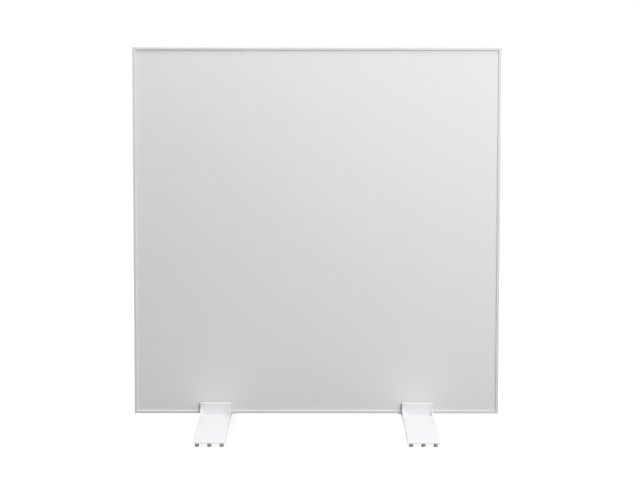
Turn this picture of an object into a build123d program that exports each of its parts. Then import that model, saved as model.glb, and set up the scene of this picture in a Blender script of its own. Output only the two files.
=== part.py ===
from build123d import *

"""Free-standing infrared panel heater: a square framed panel held by two arched clamp-on feet.

Millimetres. X runs across the panel, Y from the heated front (-Y) to the back, Z up.
The origin is on the floor, under the middle of the panel.
Depths inside the panel are counted backwards from the front of its rim, and
rises are counted upwards from the panel's bottom edge.
"""

import os
from math import ceil, cos, floor, radians, sqrt, tan

os.makedirs("parts", exist_ok=True)

# ------------------------------------------------------------------ driving dimensions

# Panel
panel_width = 600.0  # across the outside of the frame
panel_height = 600.0  # up the outside of the frame
panel_depth = 22.0  # front of the rim to the back edge of the frame

# Aluminium frame bars
frame_wall = 1.4  # wall of the section
rim_width = 4.2  # rim as seen from the front
rim_step = 1.9  # thickness of the rim, with the front plate right behind it
rim_round = 0.5  # radius along the rim's edges
bar_width = 12.0  # reach of the section in from the panel's edge
sheet_fit = 0.3  # gap between a sheet's edge and the bar's outer wall
key_leg = 38.0  # leg of a corner key, from the panel's corner
key_fit = 0.1  # gap all round a key in the bar's chamber
key_nose = 2.0  # chamfer that leads a key's leg into its bar

# Layers, from the front
front_sheet = 0.8  # heated front plate
sheet_corner = 2.0  # corner radius of the sheets
gasket_thickness = 1.2  # heat-break tape behind the plate's edge
film_margin = 15.0  # the heating film stops this far inside the panel's edge
film_thickness = 0.6
track_thickness = 0.2
track_width = 13.0
track_gap = 9.0  # bare film between neighbouring runs of the track
track_margin = 9.0  # bare film round the track
tab_half_gap = 14.0  # middle of the panel to the end of each supply strip
insulation_thickness = 13.0
insulation_margin = 13.0
pocket_width = 74.0  # opening through the insulation for cut-outs and leads
pocket_height = 96.0
pocket_rise = 17.0

# Back cover
cover_sheet = 0.6
pan_depth = 2.5  # the middle of the cover is pressed in by this much
pan_margin = 18.0  # panel's edge to the start of the pressed middle
pan_slope = 30.0  # lean of the pressed sides, in degrees
pan_corner = 10.0
bead_width = 18.0  # beads pressed in against the insulation
bead_length = 400.0
bead_spacing = 130.0
bead_count = 3
cover_screw_pitch = 155.0
cover_screw_radius = 1.7
cover_screw_length = 9.0
cover_head_radius = 3.1
cover_head_depth = 1.5

# Rivet nuts for a wall bracket
insert_span_x = 400.0
insert_span_z = 400.0
insert_bore = 2.5
insert_radius = 3.5
insert_length = 9.5
insert_flange_radius = 4.6
insert_flange = 0.8
insert_bulge_radius = 5.0
insert_bulge = 2.0
insert_clearance = 2.5  # round each insert, through the insulation
doubler_size = 40.0
doubler_sheet = 1.2

# Thermal cut-outs
cutout_radius = 8.2
cutout_cap = 3.0
cutout_body = 4.6
cutout_body_radius = 7.4
cutout_spacing = 34.0
cutout_rise = 66.0
blade_width = 6.3
blade_sheet = 0.8
blade_root = 3.0  # cut-out's middle to the blade's inner end
blade_tip = 15.5
sleeve_width = 7.8
sleeve_depth = 3.0
sleeve_start = 8.6
sleeve_end = 17.6

# Junction box
box_width = 92.0
box_height = 66.0
box_depth = 20.0
box_rise = 104.0  # to the box's middle
box_wall = 2.0
box_corner = 5.0
box_boss_radius = 3.6
box_boss_inset = 6.6
lid_thickness = 2.4
lid_lip = 1.6
lid_fit = 0.2
lid_bevel = 0.8
lid_screw_radius = 1.5
lid_screw_length = 12.0
lid_head_radius = 2.8
lid_head_height = 1.3
rivet_radius = 1.6
rivet_head_radius = 3.2
rivet_head_height = 1.1
rivet_head_bevel = 0.8
rivet_tail_radius = 2.3
rivet_tail = 1.2
box_rivet_spacing = 62.0
box_rivet_drop = 18.0
grommet_radius = 8.0
grommet_bore = 4.8
grommet_groove = 1.2
grommet_lip = 1.3
grommet_drop = 13.0

# Terminal block, leads and earth stud
terminal_length = 33.0
terminal_height = 16.0
terminal_depth = 12.5
terminal_lift = 13.0  # above the box's middle
terminal_poles = 3
barrel_radius = 2.6
barrel_bore = 1.5
barrel_inset = 1.0
terminal_screw_radius = 1.3
terminal_screw_inset = 4.0
lead_radius = 1.1
lead_spacing = 4.6  # between the two leads in the grommet
lead_bend = 4.0
lead_run = 6.0  # straight run into a sleeve or lug
lead_tail = 5.0  # length laid on the supply strip
earth_stud_radius = 2.0
earth_stud_length = 9.0
earth_flange_radius = 3.5
earth_flange = 0.8
earth_nut_width = 7.0
earth_nut_height = 3.2
earth_offset = 33.0
earth_lift = 12.0
lug_radius = 4.0
lug_sheet = 0.8
lug_tube_wall = 0.7
lug_reach = 9.0
lug_barrel = 6.0
lead_sag = 4.0  # earth lead below its lug

# Cable gland
gland_thread = 5.9
gland_bore = 4.9
gland_hex = 14.0
gland_flange = 4.5
gland_stub = 9.0
gland_tail = 1.0  # thread that shows inside the locknut
cable_bore = 3.4
seal_length = 8.0
gland_nut_radius = 7.8
gland_nut_length = 10.4
gland_nut_opening = 4.0
gland_nut_lip = 1.6
locknut_width = 14.0
locknut_height = 3.2

# Feet
foot_offset = 166.0  # middle of the panel to the middle of each foot
foot_width = 50.0
foot_length = 262.0
foot_plate = 2.5
arch_rise = 18.7  # crown of the arch above the top of its ends
foot_edge_break = 0.5  # chamfer along the plate's upper edges
foot_tip_round = 1.8  # over the top of each end
clamp_wall = 4.0
wall_height = 20.4  # clamp walls above the seat
wall_top_round = 1.8
gusset_thickness = 2.0
gusset_height = 11.0
gusset_reach = 9.0
gusset_toe = 0.4  # height left at the rib's outer end
gusset_root = 1.0  # ribs are sunk this far into the plate
seat_pad_thickness = 1.6
lining_thickness = 1.5
pad_margin = 0.3  # seat pad stops this far inside the foot's sides
lining_margin = 2.0  # and the lining this far
lining_gap = 0.3  # seat pad to the lining above it
lining_top_margin = 3.0
bumper_radius = 3.2
bumper_height = 5.3
bumper_pitch = 19.2
bumper_count = 3
bumper_inset = 4.4  # foot's end to the row of bumpers
bumper_bevel = 0.6
bumper_stem_radius = 1.7
bumper_stem_length = 2.0
bumper_boss_radius = 4.2

# Screw clamp behind each foot
clamp_height = 11.0  # seat to the screw's axis
facing_thickness = 1.5
facing_margin = 1.2
pressure_sheet = 2.0
pressure_width = 42.0
pressure_top = 17.5  # above the seat
pressure_gap = 0.3  # seat to the plate's lower edge, which stops it turning
pressure_corner = 2.0
socket_radius = 5.6
socket_height = 3.2
socket_lip = 1.2
collar_radius = 3.8
clamp_travel = 3.0  # three turns of the screw
clamp_end_gap = 0.5
screw_radius = 2.95
journal_radius = 2.25
running_fit = 0.05
clamp_boss_radius = 6.5
clamp_boss_length = 5.0
knob_gap = 1.6  # thread showing between boss and knob
knob_radius = 9.0
knob_length = 11.0
knob_hub_radius = 5.8
knob_hub_length = 2.5
knob_flutes = 8
flute_radius = 2.6
flute_offset = 10.4
knob_bevel = 0.8
screw_grip = 9.0  # length of the screw inside the knob

# ------------------------------------------------------------------ positions that follow

arch_half = foot_length / 2
arch_radius = (arch_half**2 + arch_rise**2) / (2 * arch_rise)
under_radius = arch_radius - foot_plate
under_drop = under_radius - sqrt(under_radius**2 - arch_half**2)
tip_top = bumper_height + foot_plate + under_drop - arch_rise
seat_z = tip_top + arch_rise  # crown of the arch, where the panel stands
panel_bottom = seat_z + seat_pad_thickness
panel_top = panel_bottom + panel_height
panel_middle = panel_bottom + panel_height / 2
rim_face = -panel_depth / 2
back_edge = panel_depth / 2

plate_back = rim_step + front_sheet
web_front = plate_back + gasket_thickness
web_back = web_front + frame_wall
shelf_back = panel_depth - cover_sheet
shelf_front = shelf_back - frame_wall
film_back = plate_back + film_thickness
track_back = film_back + track_thickness
insulation_back = track_back + insulation_thickness
pan_back = panel_depth - pan_depth
pan_front = pan_back - cover_sheet

blade_front = track_back + cutout_cap + cutout_body
blade_middle = blade_front + blade_sheet / 2
box_floor = pan_back + box_wall
box_rim = pan_back + box_depth
box_back = box_rim + lid_thickness
box_z = panel_bottom + box_rise
box_bottom = box_z - box_height / 2
gland_depth = (box_floor + box_rim) / 2
grommet_z = box_z - grommet_drop
cutout_z = panel_bottom + cutout_rise
strip_z = panel_bottom + film_margin + track_margin + track_width / 2
terminal_z = box_z + terminal_lift
terminal_pitch = terminal_length / terminal_poles
barrel_depth = box_floor + terminal_depth / 2
earth_z = box_z + earth_lift

lining_front = rim_face - lining_thickness
front_wall_face = lining_front - clamp_wall
socket_back = back_edge + facing_thickness + pressure_sheet + socket_height
rear_wall_front = socket_back + clamp_travel + clamp_end_gap
rear_wall_back = rear_wall_front + clamp_wall
boss_back = rear_wall_back + clamp_boss_length
knob_front = boss_back + knob_gap
clamp_z = seat_z + clamp_height

CENTRE_LOW = (Align.CENTER, Align.CENTER, Align.MIN)


# ------------------------------------------------------------------ helpers


def depth(distance):
    """Y of a plane this far behind the front of the rim."""
    return rim_face + distance


def block(x, y, z):
    """A box from three (low, high) pairs."""
    size = [high - low for low, high in (x, y, z)]
    middle = [(high + low) / 2 for low, high in (x, y, z)]
    return Pos(*middle) * Box(*size)


def front_view(at_depth):
    """Plane facing the front, with its origin at the panel's middle."""
    return Plane((0, depth(at_depth), panel_middle), x_dir=(1, 0, 0), z_dir=(0, -1, 0))


def pressed(outline, front, back):
    """Solid of a front-view outline between two depths."""
    return extrude(front_view(front) * outline, amount=front - back)


def rod(radius, start, end):
    """A round bar between two points."""
    axis = Vector(*end) - Vector(*start)
    return Plane(start, z_dir=axis) * Cylinder(radius, axis.length, align=CENTRE_LOW)


def bar_back(radius, x, z, front, back):
    """A round bar along Y between two depths."""
    return rod(radius, (x, depth(front), z), (x, depth(back), z))


def cone_back(front_radius, back_radius, x, z, front, back):
    """A tapered round bar along Y between two depths."""
    base = Plane((x, depth(front), z), z_dir=(0, 1, 0))
    return base * Cone(front_radius, back_radius, back - front, align=CENTRE_LOW)


def hexagon_along(width, start, end):
    """A hexagonal bar, width across its flats, between two points."""
    axis = Vector(*end) - Vector(*start)
    corner = width / 2 / cos(radians(30))
    return extrude(Plane(start, z_dir=axis) * RegularPolygon(corner, 6), amount=axis.length)


def group(shapes):
    """The separate solids of one node."""
    return Compound(children=[solid for shape in shapes for solid in shape.solids()])


def cut(shape, tools):
    """A shape with every tool removed."""
    for tool in tools:
        shape = shape - tool
    return shape


def corners(x, z, z_middle):
    """(x, z) of four points around a middle height."""
    return [(sx * x, z_middle + sz * z) for sx in (-1, 1) for sz in (-1, 1)]


# ------------------------------------------------------------------ fasteners of the panel


def screw_row(length):
    """Evenly spaced places along a bar, about its middle."""
    steps = ceil((length - 2 * key_leg) / cover_screw_pitch)
    return [(step - (steps - 1) / 2) * cover_screw_pitch for step in range(steps)]


def cover_screw_places():
    """(x, z) of the cover's screws, along the bars' middles and clear of the corner keys."""
    half_x = panel_width / 2 - bar_width / 2
    half_z = panel_height / 2 - bar_width / 2
    places = []
    for side in (-1, 1):
        places += [(x, panel_middle + side * half_z) for x in screw_row(panel_width)]
        places += [(side * half_x, panel_middle + z) for z in screw_row(panel_height)]
    return places


def cover_screw(x, z):
    """Countersunk self-tapping screw, flush with the cover."""
    neck = panel_depth - cover_head_depth
    head = cone_back(cover_screw_radius, cover_head_radius, x, z, neck, panel_depth)
    return head + bar_back(cover_screw_radius, x, z, panel_depth - cover_screw_length, neck)


def box_rivet(x, z):
    """Blind rivet through the box's floor and the cover."""
    head = bar_back(rivet_head_radius, x, z, box_floor, box_floor + rivet_head_height)
    head = chamfer(head.edges().sort_by(Axis.Y)[-1], rivet_head_bevel)
    shank = bar_back(rivet_radius, x, z, pan_front, box_floor)
    return head + shank + bar_back(rivet_tail_radius, x, z, pan_front - rivet_tail, pan_front)


def lid_screw(x, z):
    """Screw through the lid into a boss of the box."""
    head_front = box_back - lid_head_height
    head = bar_back(lid_head_radius, x, z, head_front, box_back)
    return head + bar_back(lid_screw_radius, x, z, box_back - lid_screw_length, head_front)


def earth_stud(x, z):
    """Stud welded to the inside of the cover, reaching back into the box."""
    flange = bar_back(earth_flange_radius, x, z, pan_front - earth_flange, pan_front)
    return flange + bar_back(earth_stud_radius, x, z, pan_front, box_floor + earth_stud_length)


def rivet_nut(x, z):
    """Threaded insert set through the cover and its doubler."""
    inner = pan_front - doubler_sheet
    nut = bar_back(insert_flange_radius, x, z, pan_back, pan_back + insert_flange)
    nut += bar_back(insert_radius, x, z, pan_back - insert_length, pan_back)
    nut += bar_back(insert_bulge_radius, x, z, inner - insert_bulge, inner)
    return nut - bar_back(insert_bore, x, z, pan_back - insert_length, pan_back + insert_flange)


cover_screws = [cover_screw(x, z) for x, z in cover_screw_places()]
insert_places = corners(insert_span_x / 2, insert_span_z / 2, panel_middle)
rivet_places = [(side * box_rivet_spacing / 2, box_z - box_rivet_drop) for side in (-1, 1)]
box_rivets = [box_rivet(x, z) for x, z in rivet_places]
lid_places = corners(box_width / 2 - box_boss_inset, box_height / 2 - box_boss_inset, box_z)
lid_screws = [lid_screw(x, z) for x, z in lid_places]
stud = earth_stud(earth_offset, earth_z)


# ------------------------------------------------------------------ frame


def bar_section():
    """Section of a frame bar: X is the depth behind the rim, Y the distance in from the edge."""
    outline = Polyline(
        (0, 0),
        (0, rim_width),
        (rim_step, rim_width),
        (rim_step, frame_wall),
        (web_front, frame_wall),
        (web_front, bar_width),
        (shelf_back, bar_width),
        (shelf_back, frame_wall),
        (panel_depth, frame_wall),
        (panel_depth, 0),
        close=True,
    )
    face = make_face(outline)
    face = fillet(face.vertices().filter_by(lambda v: v.X < rim_step / 2), rim_round)
    chamber = Rectangle(shelf_front - web_back, bar_width - 2 * frame_wall)
    return face - Pos((shelf_front + web_back) / 2, bar_width / 2) * chamber


def frame_bar(length):
    """A bar along X with its outer face down on z = 0, mitred at both ends."""
    plane = Plane((-length / 2, rim_face, 0), x_dir=(0, 1, 0), z_dir=(1, 0, 0))
    bar = extrude(plane * bar_section(), amount=length)
    half = length / 2
    reach = 2 * bar_width  # anything over the bar's own width
    mitre = Polyline((-half, 0), (half, 0), (half - reach, reach), (reach - half, reach), close=True)
    return bar & extrude(Plane.XZ * make_face(mitre), amount=panel_depth, both=True)


def frame_bars():
    """The four mitred bars, by node name."""
    across = frame_bar(panel_width)
    upright = frame_bar(panel_height)
    side = panel_width / 2
    placed = {
        "frame_bottom": Pos(0, 0, panel_bottom) * across,
        "frame_top": mirror(Pos(0, 0, panel_bottom) * across, Plane((0, 0, panel_middle))),
        "frame_left": Pos(-side, 0, panel_middle) * Rot(0, 90, 0) * upright,
        "frame_right": mirror(Pos(-side, 0, panel_middle) * Rot(0, 90, 0) * upright, Plane.YZ),
    }
    return {name: cut(bar, cover_screws) for name, bar in placed.items()}


def corner_keys():
    """Four angle keys that join the bars, one in each corner's chambers."""
    low = frame_wall + key_fit
    high = bar_width - frame_wall - key_fit
    outline = Polyline(
        (low, low),
        (key_leg - key_nose, low),
        (key_leg, low + key_nose),
        (key_leg, high - key_nose),
        (key_leg - key_nose, high),
        (high, high),
        (high, key_leg - key_nose),
        (high - key_nose, key_leg),
        (low + key_nose, key_leg),
        (low, key_leg - key_nose),
        close=True,
    )
    front = web_back + key_fit
    plane = Plane((-panel_width / 2, depth(front), panel_bottom), x_dir=(1, 0, 0), z_dir=(0, -1, 0))
    key = extrude(plane * make_face(outline), amount=front + key_fit - shelf_front)
    upper = mirror(key, Plane((0, 0, panel_middle)))
    return group([key, upper, mirror(key, Plane.YZ), mirror(upper, Plane.YZ)])


# ------------------------------------------------------------------ heated layers


def sheet(margin, corner=sheet_corner):
    """Outline of a sheet whose edge lies this far inside the panel's edge."""
    return RectangleRounded(panel_width - 2 * margin, panel_height - 2 * margin, corner)


def edge_gasket():
    """Tape ring that keeps the hot plate's edge off the frame."""
    ring = sheet(frame_wall + sheet_fit) - sheet(bar_width)
    return pressed(ring, plate_back, web_front)


def heating_track():
    """Zigzag foil track, with a supply strip below it from each end to the middle."""
    edge = film_margin + track_margin
    span_x = panel_width - 2 * edge
    pitch = track_width + track_gap
    runs = 2 * floor((span_x + track_gap) / pitch / 2)
    top = panel_height / 2 - edge - track_width / 2
    strip = strip_z - panel_middle
    low = strip + pitch
    first = -(runs - 1) * pitch / 2
    track = Sketch()
    for run in range(runs):
        x = first + run * pitch
        bottom = strip if run in (0, runs - 1) else low
        track += Pos(x, (bottom + top) / 2) * Rectangle(track_width, top - bottom + track_width)
        if run < runs - 1:
            turn = Rectangle(pitch + track_width, track_width)
            track += Pos(x + pitch / 2, low if run % 2 else top) * turn
    for side in (-1, 1):
        inner, outer = side * tab_half_gap, side * (abs(first) + track_width / 2)
        track += Pos((inner + outer) / 2, strip) * Rectangle(abs(outer - inner), track_width)
    return pressed(track, film_back, track_back)


def insulation_board():
    """Mineral board behind the film, with openings for the cut-outs and the threaded inserts."""
    outline = sheet(insulation_margin)
    pocket = Rectangle(pocket_width, pocket_height)
    outline -= Pos(0, panel_bottom + pocket_rise + pocket_height / 2 - panel_middle) * pocket
    board = pressed(outline, track_back, insulation_back)
    hole = insert_bulge_radius + insert_clearance
    return cut(board, [bar_back(hole, x, z, track_back, insulation_back) for x, z in insert_places])


def cutout_places():
    """X of the two thermal cut-outs."""
    return (-cutout_spacing / 2, cutout_spacing / 2)


def thermal_cutouts():
    """Two snap-disc cut-outs seated on the track."""
    step = track_back + cutout_cap
    discs = []
    for x in cutout_places():
        disc = bar_back(cutout_radius, x, cutout_z, track_back, step)
        discs.append(disc + bar_back(cutout_body_radius, x, cutout_z, step, blade_front))
    return discs


def cutout_blades():
    """An upper and a lower blade on each cut-out."""
    reach = (blade_root, blade_tip)
    blades = []
    for x in cutout_places():
        for side in (-1, 1):
            ends = sorted(cutout_z + side * end for end in reach)
            blades.append(
                block(
                    (x - blade_width / 2, x + blade_width / 2),
                    (depth(blade_front), depth(blade_front + blade_sheet)),
                    ends,
                )
            )
    return blades


def blade_sleeves():
    """Insulated receptacles pushed on the blades."""
    sleeves = []
    for x in cutout_places():
        for side in (-1, 1):
            ends = sorted(cutout_z + side * end for end in (sleeve_start, sleeve_end))
            sleeve = block(
                (x - sleeve_width / 2, x + sleeve_width / 2),
                (depth(blade_middle - sleeve_depth / 2), depth(blade_middle + sleeve_depth / 2)),
                ends,
            )
            sleeves.append(fillet(sleeve.edges().filter_by(Axis.Z), sleeve_depth / 4))
    return sleeves


# ------------------------------------------------------------------ back cover


def recess(width, height, corner, front, back):
    """A pressed recess, open at the back, whose sides lean by pan_slope."""
    lean = (back - front) * tan(radians(pan_slope))
    wide = RectangleRounded(width, height, corner)
    narrow = RectangleRounded(width - 2 * lean, height - 2 * lean, corner - lean)
    return loft([front_view(back) * wide, front_view(front) * narrow])


def back_cover():
    """Pressed sheet: a flat flange on the bars, a sunk middle, and beads that hold the insulation."""
    thick = cover_sheet / cos(radians(pan_slope))
    pan_width = panel_width - 2 * pan_margin
    pan_height = panel_height - 2 * pan_margin
    cover = pressed(sheet(frame_wall + sheet_fit), shelf_back, panel_depth)
    outside = (pan_width + 2 * thick, pan_height + 2 * thick, pan_corner + thick)
    cover += recess(*outside, pan_front, panel_depth)
    cover -= recess(pan_width, pan_height, pan_corner, pan_back, panel_depth)
    hollow_floor = insulation_back + cover_sheet
    for bead in range(bead_count):
        z = (bead - (bead_count - 1) / 2) * bead_spacing
        corner = bead_width / 2 - 1
        crest = recess(bead_length, bead_width, corner, insulation_back, pan_back)
        width, height = bead_length - 2 * thick, bead_width - 2 * thick
        hollow = recess(width, height, corner - thick, hollow_floor, pan_back)
        cover = cover + Pos(0, 0, z) * crest - Pos(0, 0, z) * hollow
    holes = [bar_back(insert_radius, x, z, pan_front, pan_back) for x, z in insert_places]
    holes += [bar_back(rivet_radius, x, z, pan_front, pan_back) for x, z in rivet_places]
    holes.append(bar_back(grommet_radius - grommet_groove, 0, grommet_z, pan_front, pan_back))
    holes.append(bar_back(earth_stud_radius, earth_offset, earth_z, pan_front, pan_back))
    return cut(cover, cover_screws + holes)


def insert_doublers():
    """Plates spot-welded inside the cover, round each threaded insert."""
    doublers = []
    for x, z in insert_places:
        outline = Pos(x, z - panel_middle) * RectangleRounded(doubler_size, doubler_size, sheet_corner)
        plate = pressed(outline, pan_front - doubler_sheet, pan_front)
        doublers.append(plate - bar_back(insert_radius, x, z, pan_front - doubler_sheet, pan_front))
    return group(doublers)


# ------------------------------------------------------------------ junction box


def box_outline(inset):
    """Front-view outline of the box, drawn inside its outer face."""
    outline = RectangleRounded(box_width - 2 * inset, box_height - 2 * inset, max(box_corner - inset, 1))
    return Pos(0, box_z - panel_middle) * outline


def gland_point(drop):
    """A point on the gland's axis, this far below the box."""
    return (0, depth(gland_depth), box_bottom - drop)


def box_base():
    """Open moulded box with a boss for each lid screw."""
    base = pressed(box_outline(0), pan_back, box_rim) - pressed(box_outline(box_wall), box_floor, box_rim)
    boss_back_depth = box_rim - lid_lip
    for x, z in lid_places:
        base += bar_back(box_boss_radius, x, z, box_floor, boss_back_depth)
    holes = [bar_back(rivet_radius, x, z, pan_back, box_floor) for x, z in rivet_places]
    holes.append(bar_back(grommet_radius - grommet_groove, 0, grommet_z, pan_back, box_floor))
    holes.append(bar_back(earth_stud_radius, earth_offset, earth_z, pan_back, box_floor))
    holes.append(rod(gland_thread, gland_point(0), gland_point(-box_wall)))
    return cut(base, holes + lid_screws)


def box_lid():
    """Lid with a locating lip, and recesses that sink its screw heads."""
    lid = pressed(box_outline(0), box_rim, box_back)
    lid = chamfer(lid.faces().sort_by(Axis.Y)[-1].edges(), lid_bevel)
    inset = box_wall + lid_fit
    lid += pressed(box_outline(inset) - box_outline(inset + lid_lip), box_rim - lid_lip, box_rim)
    cuts = [bar_back(box_boss_radius + lid_fit, x, z, box_rim - lid_lip, box_rim) for x, z in lid_places]
    return cut(lid, cuts + lid_screws)


def lead_grommet():
    """Rubber bush where the leads pass from the box into the panel."""
    ring = bar_back(grommet_radius, 0, grommet_z, pan_front - grommet_lip, pan_front)
    ring += bar_back(grommet_radius - grommet_groove, 0, grommet_z, pan_front, box_floor)
    ring += bar_back(grommet_radius, 0, grommet_z, box_floor, box_floor + grommet_lip)
    return ring - bar_back(grommet_bore, 0, grommet_z, pan_front - grommet_lip, box_floor + grommet_lip)


def pole_x(pole):
    """X of one pole of the terminal block."""
    return (pole - (terminal_poles - 1) / 2) * terminal_pitch


def terminal_barrels():
    """Brass barrel of each pole."""
    low = terminal_z - terminal_height / 2 + barrel_inset
    high = terminal_z + terminal_height / 2 - barrel_inset
    y = depth(barrel_depth)
    barrels = []
    for pole in range(terminal_poles):
        x = pole_x(pole)
        barrel = rod(barrel_radius, (x, y, low), (x, y, high)) - rod(barrel_bore, (x, y, low), (x, y, high))
        barrels.append(cut(barrel, terminal_screws()))
    return group(barrels)


def terminal_screws():
    """Two clamping screws in each pole."""
    back = box_floor + terminal_depth - barrel_inset
    screws = []
    for pole in range(terminal_poles):
        for side in (-1, 1):
            z = terminal_z + side * terminal_screw_inset
            screws.append(bar_back(terminal_screw_radius, pole_x(pole), z, barrel_depth + barrel_bore, back))
    return screws


def terminal_block():
    """Insulating body with a bore for each barrel and a well for each screw."""
    half_x, half_z = terminal_length / 2, terminal_height / 2
    body = block(
        (-half_x, half_x),
        (depth(box_floor), depth(box_floor + terminal_depth)),
        (terminal_z - half_z, terminal_z + half_z),
    )
    body = fillet(body.edges().filter_by(Axis.Y), sheet_corner / 2)
    y = depth(barrel_depth)
    for pole in range(terminal_poles):
        x = pole_x(pole)
        body -= rod(barrel_radius, (x, y, terminal_z - half_z), (x, y, terminal_z + half_z))
        for side in (-1, 1):
            z = terminal_z + side * terminal_screw_inset
            body -= bar_back(terminal_screw_radius, x, z, barrel_depth, box_floor + terminal_depth)
    return body


def lead(*points):
    """A round lead with rounded bends through the given (x, depth, z) points."""
    path = FilletPolyline(*[(x, depth(d), z) for x, d, z in points], radius=lead_bend)
    return sweep(Plane(path @ 0, z_dir=path % 0) * Circle(lead_radius), path=path)


def supply_leads():
    """Lead from each of the first two poles, through the grommet, to its cut-out's upper blade."""
    start_z = terminal_z - terminal_height / 2
    end_z = cutout_z + sleeve_end
    leads = []
    for pole, side, x in zip((0, 1), (-1, 1), cutout_places()):
        through = side * lead_spacing / 2
        leads.append(
            lead(
                (pole_x(pole), barrel_depth, start_z),
                (pole_x(pole), barrel_depth, start_z - 2 * lead_bend),
                (through, barrel_depth, grommet_z),
                (through, blade_middle, grommet_z),
                (x, blade_middle, end_z + lead_run),
                (x, blade_middle, end_z),
            )
        )
    return leads


def element_leads():
    """Lead from the lower blade of each cut-out to its supply strip."""
    start_z = cutout_z - sleeve_end
    laid = track_back + lead_radius
    laid_z = strip_z + lead_tail
    drop = blade_middle - laid
    return [
        lead(
            (x, blade_middle, start_z),
            (x, blade_middle, laid_z + drop),
            (x, laid, laid_z),
            (x, laid, strip_z),
        )
        for x in cutout_places()
    ]


def earth_lead():
    """Lead from the last pole round to the lug on the earth stud."""
    start_z = terminal_z - terminal_height / 2
    end_z = earth_z - lug_reach - lug_barrel
    lug_depth = box_floor + lug_sheet + lead_radius
    x = pole_x(terminal_poles - 1)
    return lead(
        (x, barrel_depth, start_z),
        (x, barrel_depth, end_z - lead_sag),
        (earth_offset, lug_depth, end_z - lead_run),
        (earth_offset, lug_depth, end_z),
    )


def earth_lug():
    """Ring lug with a tongue that carries the earth lead."""
    x, z = earth_offset, earth_z
    back = box_floor + lug_sheet
    lug = bar_back(lug_radius, x, z, box_floor, back)
    tube_radius = lead_radius + lug_tube_wall
    tongue = (x - tube_radius, x + tube_radius)
    lug += block(tongue, (depth(box_floor), depth(back)), (z - lug_reach - lug_barrel, z))
    y = depth(back + lead_radius)
    tube = rod(tube_radius, (x, y, z - lug_reach - lug_barrel), (x, y, z - lug_reach))
    tube -= rod(lead_radius, (x, y, z - lug_reach - lug_barrel), (x, y, z - lug_reach))
    return lug + (tube - block(tongue, (depth(box_floor), depth(back)), (z - 2 * lug_reach, z))) - stud


def earth_nut():
    """Nut that holds the lug down."""
    x, z = earth_offset, earth_z
    front = box_floor + lug_sheet
    nut = hexagon_along(earth_nut_width, (x, depth(front), z), (x, depth(front + earth_nut_height), z))
    return nut - stud


def gland_body():
    """Threaded gland through the box's lower wall."""
    inner = gland_point(-box_wall - locknut_height - gland_tail)
    outer = gland_point(gland_flange + gland_stub)
    body = hexagon_along(gland_hex, gland_point(0), gland_point(gland_flange))
    return body + rod(gland_thread, inner, outer) - rod(gland_bore, inner, outer)


def gland_locknut():
    """Nut inside the box that holds the gland."""
    nut = hexagon_along(locknut_width, gland_point(-box_wall - locknut_height), gland_point(-box_wall))
    return nut - rod(gland_thread, gland_point(-box_wall - locknut_height), gland_point(-box_wall))


def gland_seal():
    """Rubber seal that closes on the cable."""
    end = gland_flange + gland_stub
    seal = rod(gland_bore, gland_point(end - seal_length), gland_point(end))
    return seal - rod(cable_bore, gland_point(end - seal_length), gland_point(end))


def gland_nut():
    """Domed nut that squeezes the seal."""
    end = gland_flange + gland_stub
    start = end + gland_nut_lip - gland_nut_length
    nut = rod(gland_nut_radius, gland_point(start), gland_point(end + gland_nut_lip))
    nut = chamfer(nut.edges().sort_by(Axis.Z)[0], 2 * gland_nut_lip, gland_nut_lip)
    nut -= rod(gland_thread, gland_point(start), gland_point(end))
    return nut - rod(gland_nut_opening, gland_point(end), gland_point(end + gland_nut_lip))


# ------------------------------------------------------------------ feet, built on x = 0


def arch_top(y):
    """Height of the arch's upper surface at this Y."""
    return seat_z - arch_radius + sqrt(arch_radius**2 - y**2)


def arch_blank():
    """The arched plate, rounded over its ends and chamfered along its upper edges."""
    centre = seat_z - arch_radius
    under_tip = tip_top - foot_plate - under_drop + arch_rise
    profile = make_face(
        [
            ThreePointArc((-arch_half, tip_top), (0, seat_z), (arch_half, tip_top)),
            Line((arch_half, tip_top), (arch_half, under_tip)),
            ThreePointArc((arch_half, under_tip), (0, centre + under_radius), (-arch_half, under_tip)),
            Line((-arch_half, under_tip), (-arch_half, tip_top)),
        ]
    )
    profile = fillet(profile.vertices().group_by(Axis.Y)[-1], foot_tip_round)
    plane = Plane((-foot_width / 2, 0, 0), x_dir=(0, 1, 0), z_dir=(1, 0, 0))
    plate = extrude(plane * profile, amount=foot_width)
    middle = Vector(0, 0, centre)
    reach = arch_radius - foot_plate / 2
    sides = [plate.faces().sort_by(Axis.X)[end] for end in (0, -1)]
    upper = [e for side in sides for e in side.edges() if (e @ 0.5 - middle).length > reach]
    return chamfer(upper, foot_edge_break)


def bumper_boss(x, y):
    """Boss under the arch that takes a bumper's stem, reaching up to the middle of the plate."""
    inside = Plane((-foot_width / 2, 0, seat_z - arch_radius), z_dir=(1, 0, 0))
    inside = inside * Cylinder(arch_radius - foot_plate / 2, foot_width, align=CENTRE_LOW)
    return rod(bumper_boss_radius, (x, y, bumper_height), (x, y, seat_z)) & inside


def bumper_places():
    """(x, y) of the bumpers, a row at each end."""
    y = arch_half - bumper_inset
    rows = [(index - (bumper_count - 1) / 2) * bumper_pitch for index in range(bumper_count)]
    return [(x, side * y) for side in (-1, 1) for x in rows]


def clamp_upright(front, back):
    """One clamp wall between two Y planes, rounded along its top."""
    half = foot_width / 2
    wall = block((-half, half), (front, back), (seat_z - foot_plate / 2, seat_z + wall_height))
    wall = fillet(wall.faces().sort_by(Axis.Z)[-1].edges().filter_by(Axis.X), wall_top_round)
    return wall


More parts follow.
